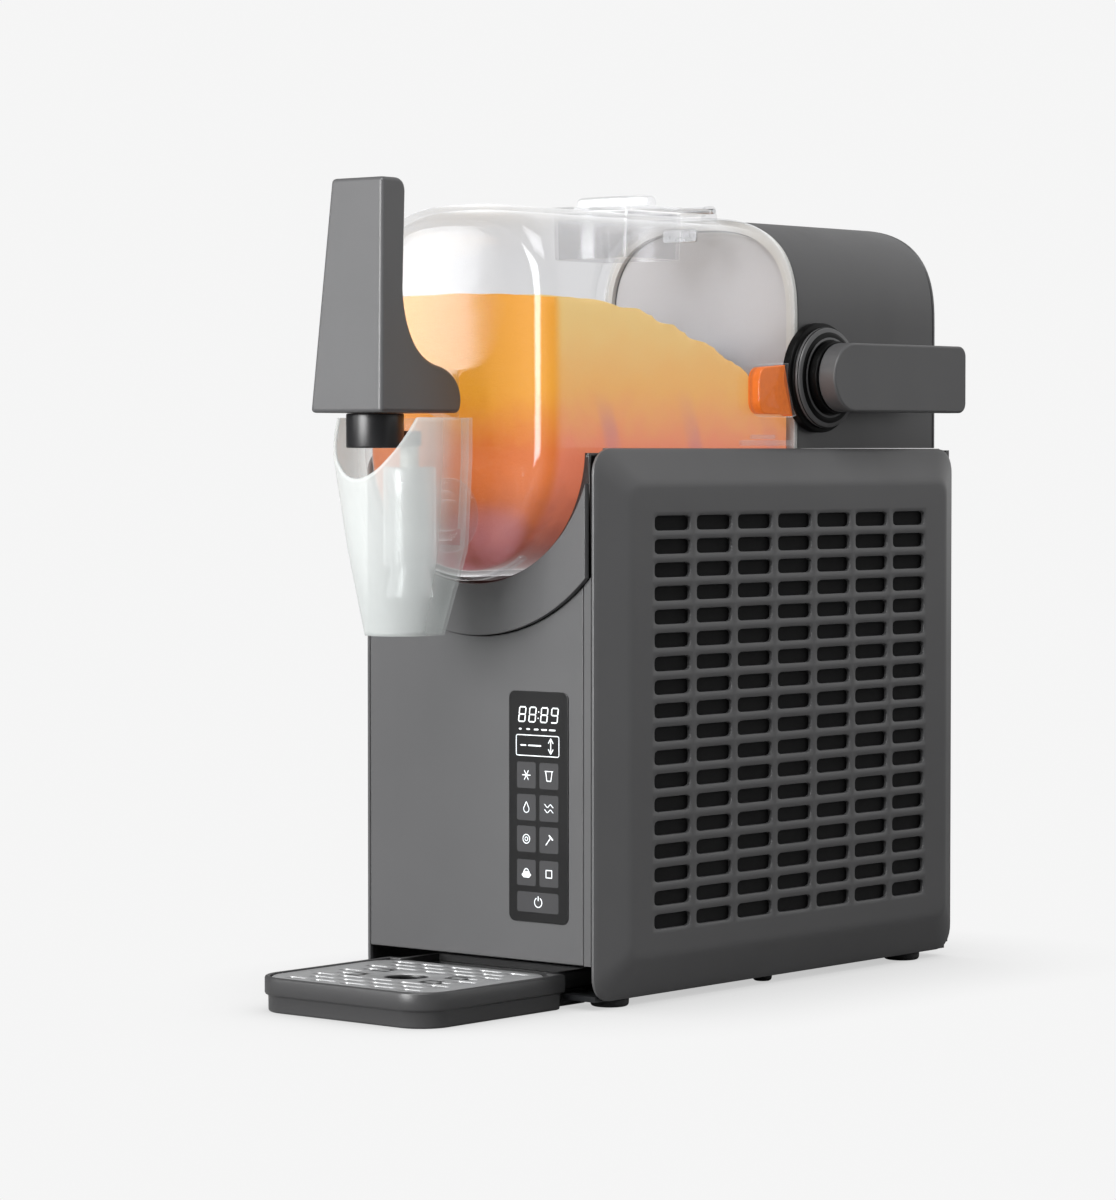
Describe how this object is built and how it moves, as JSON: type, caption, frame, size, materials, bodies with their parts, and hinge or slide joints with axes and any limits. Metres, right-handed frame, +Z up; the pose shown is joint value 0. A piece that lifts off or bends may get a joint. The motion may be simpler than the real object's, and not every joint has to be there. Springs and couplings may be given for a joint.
{
  "type": "slushie machine",
  "caption": "Countertop slush machine: vented grey housing, clear vessel with auger and lid, spout with hanging handle, side lock lever, slide-out trays.",
  "frame": {"origin": "on the table, under the middle of the whole machine's box", "axes": "+X to the right seen from the front, +Y to the back, +Z up"},
  "size_m": [0.1882, 0.448, 0.44],
  "materials": {
    "grey_shell": "satin moulded dark grey",
    "black_plastic": "satin black",
    "dark_plastic": "satin dark grey food-grade plastic",
    "clear_plastic": "clear polished co-polyester",
    "frosted_plastic": "frosted translucent",
    "black_glass": "gloss black touch panel",
    "rubber": "matt",
    "foam": "open-cell foam",
    "white_seal": "matt",
    "steel": "brushed",
    "dark_steel": "black enamel",
    "copper": "drawn tube",
    "aluminium": "mill finish",
    "circuit_board": "solder mask",
    "white_nylon": "moulded nylon",
    "grille_metal": "brushed"
  },
  "bodies": {
    "base": {"base_plate": "dark_steel", "foot_front_left": "rubber", "foot_front_right": "rubber", "foot_rear_left": "rubber", "foot_rear_right": "rubber", "foot_middle_left": "rubber", "foot_middle_right": "rubber", "side_panel_left": "grey_shell", "side_panel_right": "grey_shell", "dust_filter_left": "foam", "dust_filter_right": "foam", "front_panel": "grey_shell", "control_glass": "black_glass", "control_board": "circuit_board", "rear_panel": "grey_shell", "cord_gland": "rubber", "top_deck": "grey_shell", "vessel_cradle": "black_plastic", "tower_shell": "grey_shell", "tower_back_cover": "grey_shell", "cover_screw_1": "steel", "cover_screw_2": "steel", "compressor": "dark_steel", "condenser": "aluminium", "fan_shroud": "black_plastic", "fan_motor": "dark_steel", "filter_drier": "copper", "discharge_pipe": "copper", "suction_pipe": "copper", "power_board": "circuit_board", "gearbox_housing": "aluminium", "gearbox_cover": "aluminium", "drive_motor": "dark_steel", "shaft_seal": "white_seal", "evaporator_drum": "steel", "vessel_gasket": "rubber", "lever_collar": "black_plastic"},
    "auger_set": {"drive_shaft": "steel", "auger": "dark_plastic", "auger_nut": "black_plastic", "drive_gear": "white_nylon"},
    "pinion": {"motor_pinion": "steel"},
    "fan": {"fan_blades": "black_plastic"},
    "lever": {"lock_lever": "grey_shell", "lever_shaft": "steel", "lock_cam_left": "steel", "lock_cam_right": "steel", "lever_shaft_cap": "black_plastic"},
    "vessel_set": {"vessel": "clear_plastic", "spout_body": "clear_plastic"},
    "lid": {"vessel_lid": "clear_plastic", "lid_hinge_pin": "steel"},
    "handle": {"dispense_handle": "grey_shell", "handle_pin": "steel", "handle_spring": "steel"},
    "plunger": {"spout_plunger": "black_plastic"},
    "shroud": {"splash_shroud": "frosted_plastic"},
    "condensate_tray": {"condensate_tray": "grey_shell"},
    "drip_tray": {"drip_tray": "black_plastic"},
    "grille": {"drip_grille": "grille_metal"}
  },
  "joints": [
    {"name": "auger_spin", "type": "hinge", "parent": "base", "child": "auger_set", "pos_m": [-0.00485, -0.111, 0.2996], "axis": [0, 1, 0], "continuous": true},
    {"name": "pinion_spin", "type": "hinge", "parent": "base", "child": "pinion", "pos_m": [-0.00485, -0.111, 0.261], "axis": [0, 1, 0], "continuous": true},
    {"name": "fan_spin", "type": "hinge", "parent": "base", "child": "fan", "pos_m": [0.02765, 0.009, 0.12], "axis": [1, 0, 0], "continuous": true},
    {"name": "lever_swing", "type": "hinge", "parent": "base", "child": "lever", "pos_m": [-0.00485, 0.099, 0.339], "axis": [1, 0, 0], "range_deg": [0, 90]},
    {"name": "vessel_slide", "type": "slide", "parent": "base", "child": "vessel_set", "axis": [0, -1, 0], "range_m": [0, 0.21]},
    {"name": "lid_open", "type": "hinge", "parent": "vessel_set", "child": "lid", "pos_m": [-0.00485, 0.061, 0.4332], "axis": [-1, 0, 0], "range_deg": [0, 105]},
    {"name": "handle_pull", "type": "hinge", "parent": "vessel_set", "child": "handle", "pos_m": [-0.00485, -0.161, 0.329], "axis": [1, 0, 0], "range_deg": [0, 10], "stiffness_Nm_per_rad": 0.4, "springref_deg": -17.19},
    {"name": "plunger_push", "type": "slide", "parent": "vessel_set", "child": "plunger", "axis": [0, 0, -1], "range_m": [0, 0.0084]},
    {"name": "shroud_drop", "type": "slide", "parent": "vessel_set", "child": "shroud", "axis": [0, 0, -1], "range_m": [0, 0.08]},
    {"name": "condensate_tray_slide", "type": "slide", "parent": "base", "child": "condensate_tray", "axis": [0, -1, 0], "range_m": [0, 0.03]},
    {"name": "drip_tray_slide", "type": "slide", "parent": "base", "child": "drip_tray", "axis": [0, -1, 0], "range_m": [0, 0.15]},
    {"name": "grille_lift", "type": "slide", "parent": "drip_tray", "child": "grille", "axis": [0, 0, 1], "range_m": [0, 0.05]}
  ],
  "couplings": [
    {"joint": "pinion_spin", "follows": "auger_spin", "ratio": -3},
    {"joint": "plunger_push", "follows": "handle_pull", "m_per_rad": 0.048}
  ]
}
